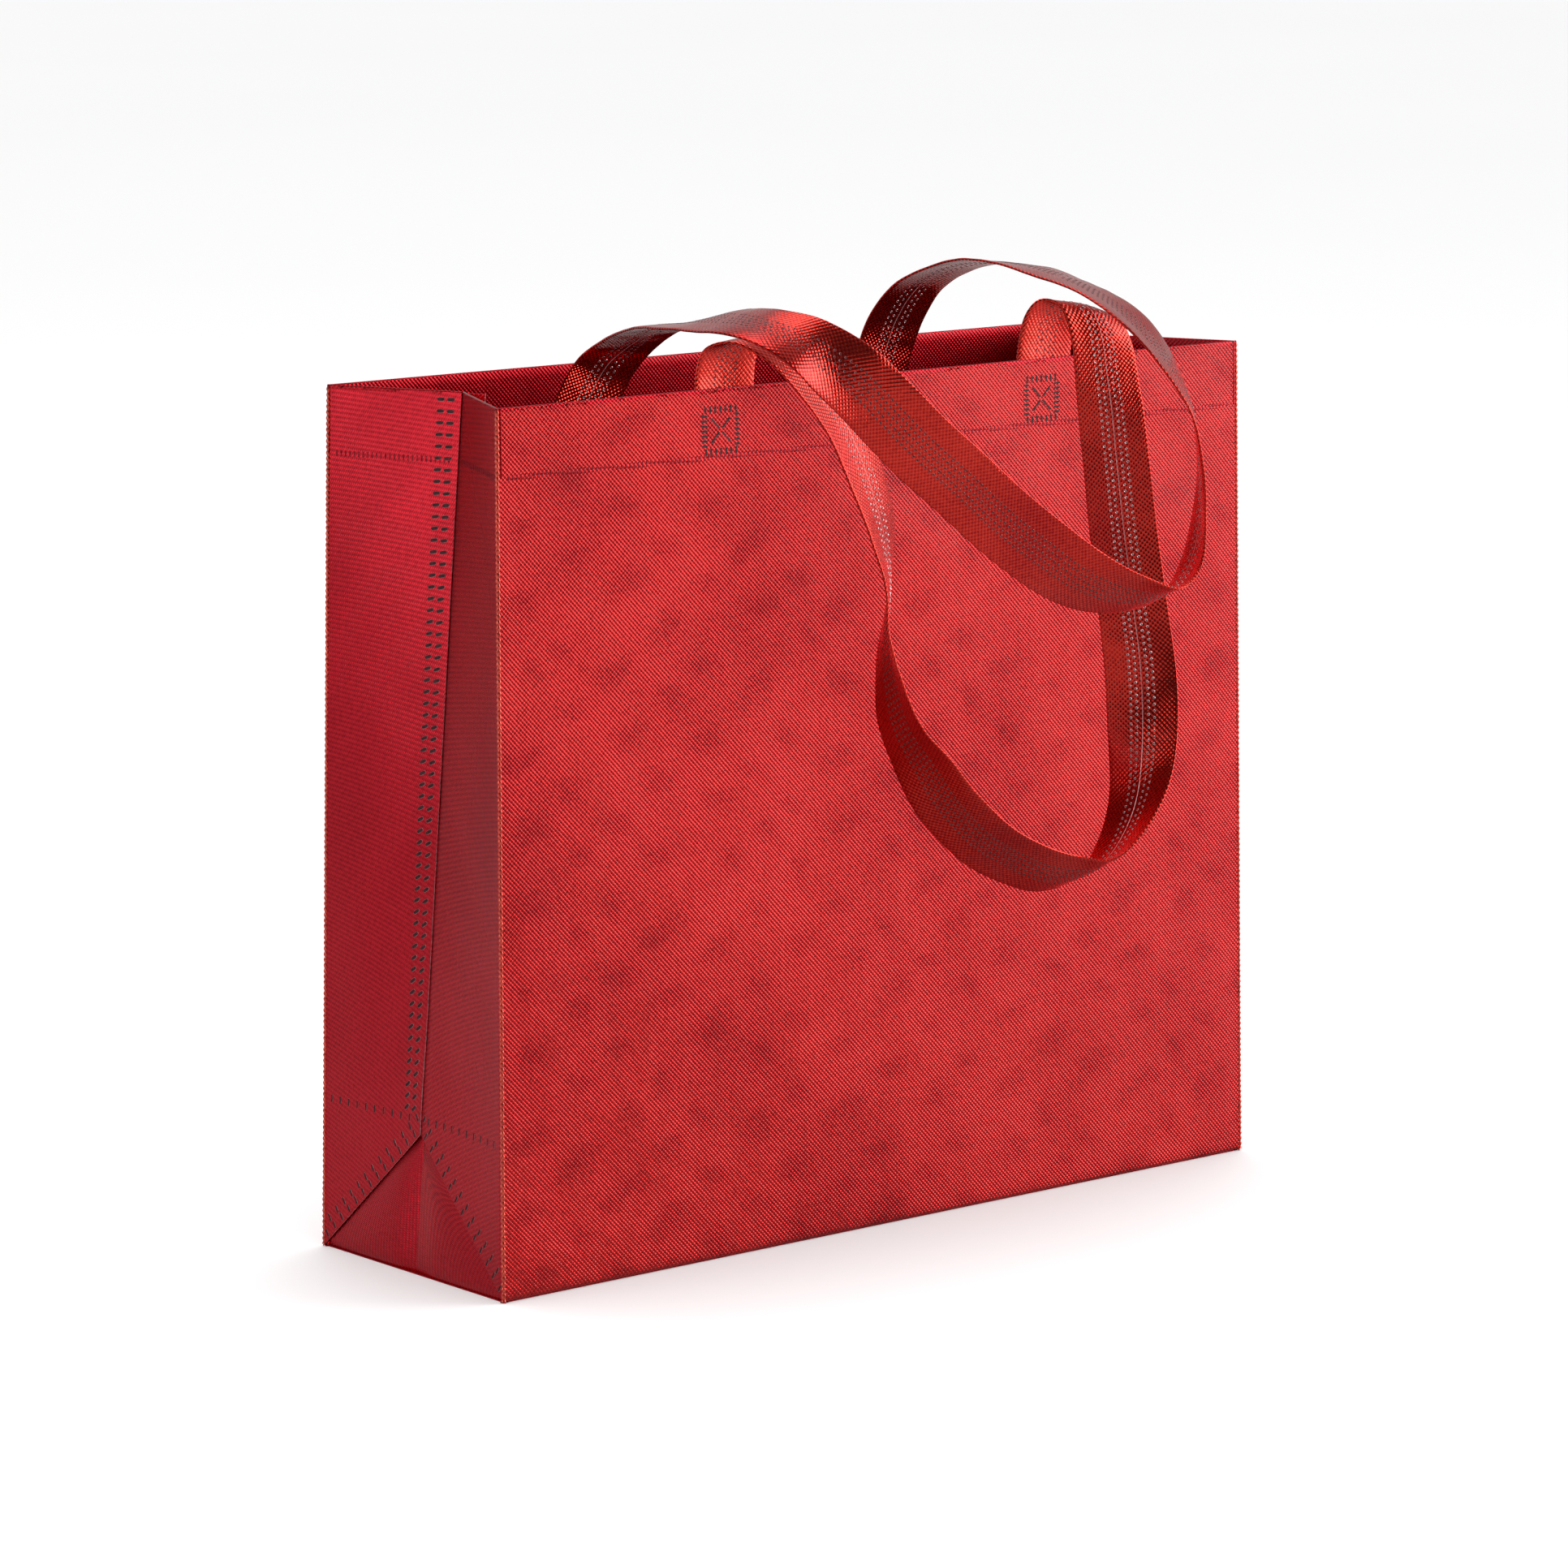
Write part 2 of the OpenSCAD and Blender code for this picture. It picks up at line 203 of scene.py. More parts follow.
def film(name, light, deep, pitch, relief, rough, patches=0.0, crinkle=0.3, shade=0.25):
    """Metallised film, embossed with two crossing families of fine ridges. The one that stands
    a little higher changes in waves across the sheet. Colour runs from light to deep in dull
    patches, with painted shade in the grooves, a broad cloud of painted shade (shade sets how
    deep) standing in for the uneven shine, and a fine grain of painted glints."""
    m = Material(name)
    uv = m.node("ShaderNodeUVMap", uv_map="UVMap")
    split = m.tree.nodes.new("ShaderNodeSeparateXYZ")
    m.put(split.inputs[0], uv)
    x, y = split.outputs[0], split.outputs[1]
    k = 2 * math.pi / pitch / math.sqrt(2)
    one = m.math("SINE", m.math("MULTIPLY", m.math("ADD", x, y), k))
    two = m.math("SINE", m.math("MULTIPLY", m.math("SUBTRACT", x, y), k))
    drift = m.noise(uv, 22, 1.5)
    share = m.mapped(m.noise(uv, 38, 2.0, 0.6), 0.35, 0.65, 0.47, 0.53)
    rest = m.math("SUBTRACT", 1.0, share)
    ridges = m.math("ADD", m.math("MULTIPLY", one, share), m.math("MULTIPLY", two, rest))
    soft = m.noise(uv, 160, 3.0, 0.6)
    height = m.math("ADD", ridges, m.math("MULTIPLY", soft, crinkle * 6))
    m.bump(height, relief)

    # Dull patches in a loose lattice, where the embossing is pressed flatter
    def wavy(place, period, sway):
        """A sine of the place along the sheet, pushed to and fro by the drift."""
        turn = m.math("MULTIPLY", place, 2 * math.pi / period)
        return m.math("SINE", m.math("ADD", turn, m.math("MULTIPLY", drift, sway)))

    lattice = m.math("MULTIPLY", wavy(x, PATCH_PERIOD_ACROSS, 6.0), wavy(y, PATCH_PERIOD_UP, 7.0))
    stretched = m.node("ShaderNodeVectorMath", uv, STREAK_SCALE, operation="MULTIPLY")
    streaks = m.noise(stretched, 1.0, 3.0, 0.75)
    worn = m.math("ADD", lattice, m.math("MULTIPLY", m.math("SUBTRACT", streaks, 0.5), 2.0))
    patch = m.mapped(worn, -0.1, 2.0, 0.0, patches)
    # Painted shade: a broad cloud of darker film, up to shade deep, standing in for the uneven shine
    painted_shade_cloud = m.mapped(m.noise(uv, CLOUD_SCALE, 2.0, 0.6), 0.35, 0.7, 0.0, shade)
    # Painted glints: a fine grain of lighter and darker specks for the sparkle of the embossing
    painted_glint = m.mapped(m.noise(uv, GLINT_SCALE, 1.0), 0.32, 0.62, 0.16, -0.06)
    dull_and_painted_shade = m.math("ADD", patch, painted_shade_cloud)
    # Painted shade: the film is darker in the grooves of the embossing
    painted_groove_shade = m.mapped(ridges, -0.7, 0.5, 0.6, 0.0)
    dark = m.math("ADD", m.math("ADD", dull_and_painted_shade, painted_groove_shade), painted_glint)
    m.set(Base_Color=m.colour(dark, light, deep))
    m.set(Roughness=m.math("ADD", rough, m.math("MULTIPLY", dull_and_painted_shade, 0.12)))
    m.set(Metallic=0.94, Coat_Weight=0.12, Coat_Roughness=0.2)
    return m.material


def dull_film(name, light, deep, rough, metal=0.75):
    """Melted or cut sheet: dull, with a fine uneven surface."""
    m = Material(name)
    place = m.node("ShaderNodeTexCoord", out=3)
    spots = m.noise(place, 900, 3.0, 0.6)
    m.set(Base_Color=m.colour(m.mapped(spots, 0.35, 0.65, 0.0, 1.0), light, deep))
    m.set(Roughness=m.mapped(spots, 0.3, 0.7, rough - 0.08, rough + 0.08))
    m.bump(spots, 0.05 * MM)
    m.set(Metallic=metal)
    return m.material


RED = (0.82, 0.034, 0.032, 1)
DEEP = (0.24, 0.003, 0.008, 1)
body_film = film("body_film", RED, DEEP, 1.35 * MM, 0.15 * MM, 0.22, patches=0.4, shade=0.3)
side_film = film("side_film", (0.76, 0.02, 0.036, 1), (0.3, 0.003, 0.012, 1), 1.35 * MM, 0.05 * MM, 0.26)
# The hems are the same film folded in: this darker copy is painted shade for the inside of the mouth
inside_film_painted_shade = film("inside_film_painted_shade", (0.55, 0.008, 0.016, 1), (0.24, 0.003, 0.008, 1), 1.35 * MM, 0.07 * MM, 0.3)
strap_film = film("strap_film", (0.88, 0.05, 0.03, 1), (0.34, 0.003, 0.007, 1), 1.5 * MM, 0.08 * MM, 0.12,
                  crinkle=0.4, shade=0.4)
# A brighter, more orange copy of the film for the folded corners: painted highlight along each fold
fold_film_painted_highlight = film("fold_film_painted_highlight", (0.95, 0.16, 0.11, 1), (0.6, 0.02, 0.02, 1), 1.25 * MM, 0.05 * MM, 0.3)
weld_lip = dull_film("weld_lip", (0.5, 0.13, 0.14, 1), (0.3, 0.05, 0.06, 1), 0.35)
weld_pit = dull_film("weld_pit", (0.035, 0.012, 0.014, 1), (0.08, 0.03, 0.034, 1), 0.5)
tick_red = dull_film("tick_red", (0.3, 0.016, 0.026, 1), (0.16, 0.006, 0.012, 1), 0.35, metal=0.9)
silver_dot = dull_film("silver_dot", (0.66, 0.5, 0.5, 1), (0.42, 0.25, 0.26, 1), 0.25)
grey_dot = dull_film("grey_dot", (0.2, 0.085, 0.085, 1), (0.11, 0.04, 0.045, 1), 0.35)
cut_edge = dull_film("cut_edge", (0.66, 0.44, 0.44, 1), (0.42, 0.2, 0.21, 1), 0.4, metal=0.5)


# ---------------------------------------------------------------- meshes
def add_mesh(name, points, faces, uvs, materials, slots=None, sharp=50):
    mesh = bpy.data.meshes.new(name)
    mesh.from_pydata(np.asarray(points).tolist(), [], [tuple(int(i) for i in f) for f in faces])
    corner = np.empty(len(mesh.loops), np.int64)
    mesh.loops.foreach_get("vertex_index", corner)
    layer = mesh.uv_layers.new(name="UVMap")
    layer.data.foreach_set("uv", np.asarray(uvs, np.float32)[corner].ravel())
    for material in materials:
        mesh.materials.append(material)
    if slots is not None:
        mesh.polygons.foreach_set("material_index", np.asarray(slots, np.int32))
    mesh.shade_smooth()
    mesh.set_sharp_from_angle(angle=math.radians(sharp))
    obj = bpy.data.objects.new(name, mesh)
    bpy.context.scene.collection.objects.link(obj)
    return obj


def run_length(points, axis):
    """Distance along a grid of points, from its first row or column."""
    step = np.linalg.norm(np.diff(points, axis=axis), axis=-1)
    start = np.zeros_like(np.take(step, [0], axis=axis))
    return np.concatenate([start, np.cumsum(step, axis=axis)], axis=axis)


class Sheet:
    """A curved sheet through a grid of points. u places a column and v places a row."""

    def __init__(self, points, u, v, outward, origin=(0.0, 0.0)):
        self.points, self.u, self.v = points, u, v
        normal = unit(np.cross(np.gradient(points, axis=1), np.gradient(points, axis=0)))
        self.turned = bool(normal.mean((0, 1)) @ outward < 0)
        self.normal = -normal if self.turned else normal
        self.uv = np.stack([run_length(points, 1) + origin[0], run_length(points, 0) + origin[1]], -1)

    def at(self, u, v):
        """Point, normal, direction across and direction up at u, v."""
        j = np.interp(u, self.u, np.arange(len(self.u)))
        i = np.interp(v, self.v, np.arange(len(self.v)))
        i0 = np.minimum(i.astype(int), len(self.v) - 2)
        j0 = np.minimum(j.astype(int), len(self.u) - 2)
        s, t = (i - i0)[..., None], (j - j0)[..., None]

        def blend(grid):
            low = mix(grid[i0, j0], grid[i0, j0 + 1], t)
            return mix(low, mix(grid[i0 + 1, j0], grid[i0 + 1, j0 + 1], t), s)

        across = unit(self.points[i0, j0 + 1] - self.points[i0, j0])
        rise = unit(self.points[i0 + 1, j0] - self.points[i0, j0])
        return blend(self.points), unit(blend(self.normal)), across, rise

    def solid(self, name, material, thickness=SHEET, edge=None):
        rows, cols = self.points.shape[:2]
        count = rows * cols
        inner = self.points - self.normal * thickness
        a = (np.arange(rows - 1)[:, None] * cols + np.arange(cols - 1)).ravel()
        skin = np.stack([a, a + 1, a + cols + 1, a + cols], 1)
        border = np.concatenate([
            np.arange(cols - 1),
            np.arange(rows - 1) * cols + cols - 1,
            np.arange(count - 1, count - cols, -1),
            np.arange((rows - 1) * cols, 0, -cols),
        ])
        after = np.roll(border, -1)
        walls = np.stack([after, border, border + count, after + count], 1)
        faces = np.concatenate([skin, skin[:, ::-1] + count, walls])
        if self.turned:
            faces = faces[:, ::-1]
        points = np.concatenate([self.points.reshape(-1, 3), inner.reshape(-1, 3)])
        uvs = np.concatenate([self.uv.reshape(-1, 2)] * 2)
        slots = np.zeros(len(faces), int)
        slots[2 * len(skin):] = 1
        return add_mesh(name, points, faces, uvs, [material, edge or material], slots)


def place_piece(obj, nodes, body="bag"):
    if nodes:
        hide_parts(*nodes)
    if body:
        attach(obj, body)
    return obj


# ---------------------------------------------------------------- front and back panels
def edge_spaced(count, fine, total):
    """Places from 0 to 1 across total metres, with extra ones at the given distances from each end."""
    ends = np.array(fine) / total
    middle = np.linspace(ends[-1], 1 - ends[-1], count)
    return np.concatenate([ends[:-1], middle, 1 - ends[-2::-1]])


ROLL_STEPS = np.array([0, 0.03, 0.12, 0.3, 0.6, 1.0]) * BASE_ROLL


def roll_inset(z):
    """How far the sheet has turned in under the bag at height z."""
    rest = np.clip(BASE_ROLL - z, 0, BASE_ROLL)
    return BASE_ROLL - np.sqrt(BASE_ROLL ** 2 - rest ** 2)


def panel_sheet(face):
    u = edge_spaced(128, [0, 0.6 * MM, 1.5 * MM], 2 * HALF_W)
    z = np.concatenate([ROLL_STEPS, np.linspace(BASE_ROLL, RIM - RIM_ROLL, 115)[1:]])
    s, zz = np.meshgrid(2 * u - 1, z)
    v = zz / RIM
    free = (1 - s ** 2) ** 0.7 * np.sin(np.pi * np.clip(v, 0, 1) ** 0.85) ** 0.8
    x = s * half_w(zz)
    seed = 11 if face < 0 else 41
    slack = 1.5 * MM * free
    ripple = (0.5 * MM * waves(seed, 0.15, x, zz) + 0.2 * MM * waves(seed + 1, 0.06, x, zz)
              + 0.03 * MM * waves(seed + 2, 0.022, x, zz))
    ripple = ripple * ease(0, 0.05, 1 - np.abs(s)) * ease(0, 0.05, v)
    rim_wave = 0.5 * MM * waves(seed + 3, 0.16, x, 0 * x) * ease(0, 0.1, 1 - np.abs(s)) * ease(0.6, 1, v)
    out = slack + ripple * (1 - 0.7 * ease(0.9, 1.0, v)) + rim_wave
    y = half_d(zz) - roll_inset(zz) + out
    points = np.stack([x, face * y, zz], -1)
    return Sheet(points, 2 * u - 1, z, face * BACK)


front = panel_sheet(-1)
back = panel_sheet(1)
front_obj = front.solid("front_panel_sheet", body_film)
back_obj = back.solid("back_panel_sheet", body_film)
place_piece(front_obj, ["front_panel"])
place_piece(back_obj, ["back_panel"])


# ---------------------------------------------------------------- gussets
def gusset_sheet(side, face):
    """Half of a gusset: u runs from the panel to the crease, v from the foot to the rim."""
    u = np.concatenate([[0, 0.012, 0.03], np.linspace(0.06, 0.94, 26), [0.97, 0.985, 1]])
    v = np.linspace(0, 1, 110)
    uu, vv = np.meshgrid(u, v)
    foot_x = HALF_W - TUCK_FOOT * uu
    foot_y = HALF_D * (1 - uu)
    foot_z = FOOT_H * uu
    z = mix(foot_z, RIM - RIM_ROLL, vv)
    climb = np.clip((z - FOOT_H) / (RIM - FOOT_H), 0, 1)
    tuck = mix(TUCK_FOOT, TUCK_RIM, climb ** 0.9)
    x = mix(foot_x, half_w(z) - tuck * uu, ease(0, 0.15, vv))
    x = mix(mix(foot_x, RIM_HALF_W - TUCK_RIM * uu, vv), x, 0.25)
    y = mix(foot_y, RIM_HALF_D * (1 - uu), vv)
    belly = np.sin(np.pi * uu) * np.sin(np.pi * np.clip(vv, 0, 1)) ** 0.7
    hidden = face < 0
    out = (-1.6 if hidden else 1.3) * MM * belly
    ripple = 0.35 * MM * waves(60 + side + face, 0.09, y, z) + 0.08 * MM * waves(70 + side + face, 0.03, y, z)
    out = out + ripple * belly ** 0.5
    if hidden:
        out = out - 0.3 * MM * ease(0.9, 1.0, uu) - 0.7 * MM * (1 - ease(0.0, 0.04, uu))
    else:
        out = out + 0.25 * MM * ease(0.8, 1.0, uu)
    points = np.stack([side * (x + out), face * y, z], -1)
    return Sheet(points, u, v, np.array([side, 0.0, 0.0]))


def lap_sheet(side, back_half):
    """Margin of the back half, which runs on past the crease inside the front half."""
    v = np.linspace(0.0, 1, 90)
    edge, normal, across, _ = back_half.at(np.ones_like(v), v)
    run = unit(np.stack([across[:, 0], across[:, 1], 0 * v], -1))
    steps = np.array([-3.0, -1.0, 0.0, 2.0, 4.0, 6.0, 8.0, 10.0]) * MM
    inset = np.array([0.8, 0.8, 0.8, 0.9, 1.0, 1.0, 1.0, 1.0]) * MM
    points = edge[:, None] + run[:, None] * steps[None, :, None] - normal[:, None] * inset[None, :, None]
    points[..., 2] = np.minimum(points[..., 2], RIM - 0.2 * MM)
    return Sheet(points, steps, v, np.array([side, 0.0, 0.0]))


gussets = {}
for side, word in ((-1, "left"), (1, "right")):
    for face, half in ((-1, "front"), (1, "back")):
        sheet = gusset_sheet(side, face)
        gussets[word, half] = sheet
        obj = sheet.solid(f"{word}_gusset_{half}_sheet", side_film, edge=cut_edge if half == "back" else None)
        place_piece(obj, [f"{word}_gusset_{half}"])
    lap = lap_sheet(side, gussets[word, "back"])
    lap_obj = lap.solid(f"{word}_seam_lap_sheet", side_film, edge=cut_edge)
    place_piece(lap_obj, [f"{word}_seam_lap"])


# ---------------------------------------------------------------- hems
def hem_sheet(sheet, u, inward, z_of=None):
    """A hem that rolls over the rim of a sheet and runs down inside it."""
    turn = np.linspace(0, np.pi, 7)
    down = np.linspace(RIM_ROLL, HEM_H, 8)[1:]
    inside = 2 * RIM_ROLL + 0.1 * MM + 0.25 * MM * (down / HEM_H) ** 2
    deep = np.concatenate([[0], RIM_ROLL * (1 - np.cos(turn)), inside])
    drop = np.concatenate([[RIM_ROLL + 1.2 * MM], RIM_ROLL * (1 - np.sin(turn)), down])
    dd, uu = np.meshgrid(np.arange(len(deep)), u, indexing="ij")
    z = RIM - drop[dd]
    v = np.minimum(z, RIM - RIM_ROLL) if z_of is None else z_of(np.minimum(z, RIM - RIM_ROLL))
    point, normal, _, _ = sheet.at(uu, v)
    flat = unit(normal * np.array([1.0, 1.0, 0.0]))
    points = point - flat * deep[dd][..., None]
    points[..., 2] = z
    return Sheet(points, u, np.arange(len(deep)), inward, origin=(0, RIM))


def gusset_v(z):
    return (z - FOOT_H * 0.5) / (RIM - RIM_ROLL - FOOT_H * 0.5)


# The hems take the darker film, painted shade inside the mouth
for face, word, sheet in ((-1, "front", front), (1, "back", back)):
    hem = hem_sheet(sheet, np.linspace(-1, 1, 130), -face * BACK)
    hem_obj = hem.solid(f"{word}_hem_sheet", inside_film_painted_shade, thickness=0.3 * MM)
    place_piece(hem_obj, [f"{word}_hem"])
for side, word in ((-1, "left"), (1, "right")):
    for half in ("front", "back"):
        hem = hem_sheet(gussets[word, half], np.linspace(0, 1, 24), np.array([-side, 0.0, 0.0]), gusset_v)
        hem_obj = hem.solid(f"{word}_hem_{half}_sheet", inside_film_painted_shade, thickness=0.3 * MM)
        place_piece(hem_obj, [f"{word}_hem_{half}"])


# ---------------------------------------------------------------- base and its folded ends
def base_sheet():
    x = np.linspace(-1, 1, 80) * (HALF_W - 0.5 * BASE_ROLL)
    y = np.linspace(-1, 1, 30) * (HALF_D - 0.5 * BASE_ROLL)
    xx, yy = np.meshgrid(x, y)
    free = (1 - (xx / HALF_W) ** 2) * (1 - (yy / HALF_D) ** 2)
    z = free * 1.2 * MM * (1 + 0.4 * waves(90, 0.08, xx, yy)) + 0.02 * MM
    return Sheet(np.stack([xx, yy, z], -1), x, y, -UP)


def base_end_sheet(side):
    """The triangle folded up at each end: u runs front to back and v from the base to the apex."""
    middle = [-0.03, -0.012, 0, 0.012, 0.03]
    u = np.concatenate([np.linspace(-1, -0.06, 26), middle, np.linspace(0.06, 1, 26)])
    z_share = np.concatenate([[0, 0.004, 0.01, 0.02, 0.035, 0.055], np.linspace(0.08, 0.985, 34)])
    uu, vv = np.meshgrid(u, z_share)
    z = vv * FOOT_H
    y = uu * (1 - vv) * (HALF_D - 0.6 * MM)
    roll = 4 * MM
    rest = np.clip(roll - z, 0, roll)
    under = (roll - np.sqrt(roll ** 2 - rest ** 2)) * 0.4
    belly = np.abs(np.sin(np.pi * uu)) * (1 - vv) ** 0.8 * ease(0.0, 0.25, vv + 0.05)
    crease = np.exp(-((uu * (1 - vv) * HALF_D) / (0.9 * MM)) ** 2)
    sag = 1.3 * MM * belly - 0.15 * MM * crease - 0.9 * MM * np.exp(-((uu * (1 - vv)) / 0.14) ** 2)
    x = HALF_W - TUCK_FOOT * vv - 1.0 * MM - under + sag
    return Sheet(np.stack([side * x, y, z + 0.02 * MM], -1), u, z_share, np.array([side, 0.0, 0.0]))


base = base_sheet()
base_obj = place_piece(base.solid("base_sheet", side_film), ["base_panel"])
for side, word in ((-1, "left"), (1, "right")):
    obj = base_end_sheet(side).solid(f"{word}_base_end_sheet", side_film)
    place_piece(obj, [f"{word}_base_end"])


# ---------------------------------------------------------------- folded corners
def beaded_edge(name, path, radius, bead, material):
    """A thin folded edge along a path, pinched into beads by the embossing."""
    length = np.linalg.norm(path[-1] - path[0])
    count = int(length / bead * 4)
    t = np.linspace(0, 1, count + 1)
    centre = np.stack([np.interp(t, np.linspace(0, 1, len(path)), path[:, k]) for k in range(3)], -1)
    along = unit(path[-1] - path[0])
    side = unit(np.cross(along, [0.3, 0.9, 0.1]))
    other = np.cross(along, side)
    around = np.linspace(0, 2 * np.pi, 11)[:-1]
    beads = 0.24 * np.cos(2 * np.pi * t * length / bead)
    width = radius * (1 + beads + 0.05 * waves(7, 0.02, t * length, 0 * t))
    ring = np.cos(around)[:, None] * side + np.sin(around)[:, None] * other
    points = centre[:, None] + ring[None] * width[:, None, None]
    n = len(around)
    i, j = np.meshgrid(np.arange(count), np.arange(n), indexing="ij")
    a, b = (i * n + j).ravel(), (i * n + (j + 1) % n).ravel()
    faces = np.stack([a, a + n, b + n, b], 1).tolist()
    faces += [list(range(n)), list(range(count * n + n - 1, count * n - 1, -1))]
    uvs = np.stack(np.broadcast_arrays(around[None] * radius, (t * length)[:, None]), -1).reshape(-1, 2)
    return add_mesh(name, points.reshape(-1, 3), faces, uvs, [material])


# The folded corners take the brighter film, a painted highlight along each fold
for face, half in ((-1, "front"), (1, "back")):
    for side, word in ((-1, "left"), (1, "right")):
        z = np.linspace(0.9 * MM, RIM - 0.8 * MM, 40)
        path = np.stack([side * (half_w(z) - 0.4 * MM), face * (half_d(z) - 0.5 * MM), z], -1)
        obj = beaded_edge(f"{half}_{word}_folded_edge", path, 0.85 * MM, 2.3 * MM, fold_film_painted_highlight)
        place_piece(obj, [])


# ---------------------------------------------------------------- welded dashes
def dash_mesh(name, places, length, width, lip=weld_lip, pit=weld_pit, proud=0.13 * MM):
    """Dashes pressed into a sheet: each is a shallow dent with a raised lip.
    places holds points, normals and the long directions."""
    points, normals, longs = (np.asarray(a) for a in places)
    longs = unit(longs - normals * (longs * normals).sum(-1, keepdims=True))
    shorts = np.cross(normals, longs)
    turn = np.linspace(0, 2 * np.pi, 11)[:-1]
    cx = np.sign(np.cos(turn)) * np.abs(np.cos(turn)) ** 0.6 * length / 2
    cy = np.sign(np.sin(turn)) * np.abs(np.sin(turn)) ** 0.6 * width / 2
    grow = 0.16 * width
    levels = ((grow, -0.02 * MM), (0, proud), (-1.6 * grow, 0.03 * MM))
    rings = []
    for add, height in levels:
        x = cx * (1 + 2 * add / length)
        y = cy * (1 + 2 * add / width)
        rings.append(points[:, None] + longs[:, None] * x[:, None] + shorts[:, None] * y[:, None]
                     + normals[:, None] * height)
    stack = np.stack(rings, 1)
    count, n = len(points), len(turn)
    faces, slots = [], []
    for d in range(count):
        first = d * 3 * n
        for level in (0, 1):
            for j in range(n):
                a, b = first + level * n + j, first + level * n + (j + 1) % n
                faces.append((a, b, b + n, a + n))
                slots.append(level)
        faces.append(tuple(first + 2 * n + j for j in range(n)))
        slots.append(1)
    flat = stack.reshape(-1, 3)
    return add_mesh(name, flat, faces, flat[:, :2], [lip, pit], slots, sharp=80)


def on_sheet(sheet, u, v, tilt=0.0):
    """Points, normals and directions on a sheet; tilt turns the direction from across to up."""
    point, normal, across, rise = sheet.at(np.asarray(u, float), np.asarray(v, float))
    return point, normal, across * math.cos(tilt) + rise * math.sin(tilt)


def join(*groups):
    return [np.concatenate([g[k] for g in groups]) for k in range(3)]


def add_hem_ticks(word, places):
    obj = dash_mesh(f"{word}_hem_ticks", places, 2.3 * MM, 0.6 * MM, tick_red, tick_red, 0.07 * MM)
    place_piece(obj, [])


HEM_LINE = RIM - HEM_H
TICK_PITCH = 2.05 * MM
for word, sheet in (("front", front), ("back", back)):
    x = np.arange(-RIM_HALF_W + 5 * MM, RIM_HALF_W - 4 * MM, TICK_PITCH)
    height = HEM_LINE + 0.15 * MM * waves(5, 0.04, x, 0 * x)
    add_hem_ticks(word, on_sheet(sheet, x / half_w(HEM_LINE), height, math.pi / 2))


def box_places(sheet, centre):
    """Dashes of a square weld with a cross, around a point on a panel."""
    pitch, reach = 2.1 * MM, 8.3 * MM
    groups = []

    def add(dx, dz, tilt):
        z = WELD_Z + np.atleast_1d(dz)
        u = (centre + np.atleast_1d(dx)) / half_w(WELD_Z)
        groups.append(on_sheet(sheet, u, z, tilt))

    steps = np.arange(-3, 4) * pitch
    for sign in (-1, 1):
        add(steps * 1.22, 0 * steps + sign * reach, math.pi / 2)
    rows = (np.arange(7) - 3) * pitch * 0.93
    for sign in (-1, 1):
        add(0 * rows + sign * reach, rows, 0.0)
    for angle in (math.pi / 4, -math.pi / 4):
        for reach_in in (-5.4, -2.4, 2.4, 5.4):
            add(reach_in * MM * math.cos(angle), reach_in * MM * math.sin(angle), angle)
    return join(*groups)


WELDS = (
    ("front_left_weld", front, -86 * MM), ("front_right_weld", front, 85 * MM),
    ("back_left_weld", back, -69 * MM), ("back_right_weld", back, 90 * MM),
)
for node, sheet, x in WELDS:
    places = box_places(sheet, x)
    obj = dash_mesh(f"{node}_dashes", places, 2.8 * MM, 0.85 * MM, grey_dot, weld_pit, 0.12 * MM)
    place_piece(obj, [node])


def gusset_places(sheet, dist, z, tilt):
    """Places on a gusset half at a distance from its crease and at heights z."""
    z, dist = np.broadcast_arrays(np.asarray(z, float), np.asarray(dist, float))
    u = 1 - dist / (60 * MM)
    v = (z - FOOT_H * u) / (RIM - RIM_ROLL - FOOT_H * u)
    return on_sheet(sheet, u, v, tilt)


FOOT_LINE = 62 * MM
for word in ("left", "right"):
    rear, fore = gussets[word, "back"], gussets[word, "front"]
    z = np.arange(66 * MM, RIM - 3 * MM, 4.6 * MM)
    seam = join(*[gusset_places(rear, d, z, 0.0) for d in (4.4 * MM, 9.0 * MM)])
    place_piece(dash_mesh(f"{word}_seam_dashes", seam, 3.2 * MM, 1.25 * MM), [])
    reach = np.arange(5 * MM, 55 * MM, 5.3 * MM)
    foot = join(gusset_places(rear, reach + 2 * MM, FOOT_LINE, math.pi / 2),
                gusset_places(fore, reach, FOOT_LINE, math.pi / 2))
    place_piece(dash_mesh(f"{word}_foot_dashes", foot, 3.2 * MM, 0.75 * MM), [])
    tick = np.arange(4 * MM, 56 * MM, TICK_PITCH)
    ticks = join(*[gusset_places(g, tick, HEM_LINE, math.pi / 2) for g in (rear, fore)])
    add_hem_ticks(word, ticks)
    along = (np.arange(13) + 0.6) / 13.4
    pairs = []
    for sheet in (rear, fore):
        for offset, shift in ((2.4 * MM, 0.0), (6.2 * MM, 0.35 / 13.4)):
            u = np.clip(along + shift, 0.02, 0.98)
            height = offset * 1.38
            v = height / (RIM - FOOT_H * u)
            pairs.append(on_sheet(sheet, u, v, math.radians(118)))
    place_piece(dash_mesh(f"{word}_corner_dashes", join(*pairs), 3.3 * MM, 0.95 * MM), [])


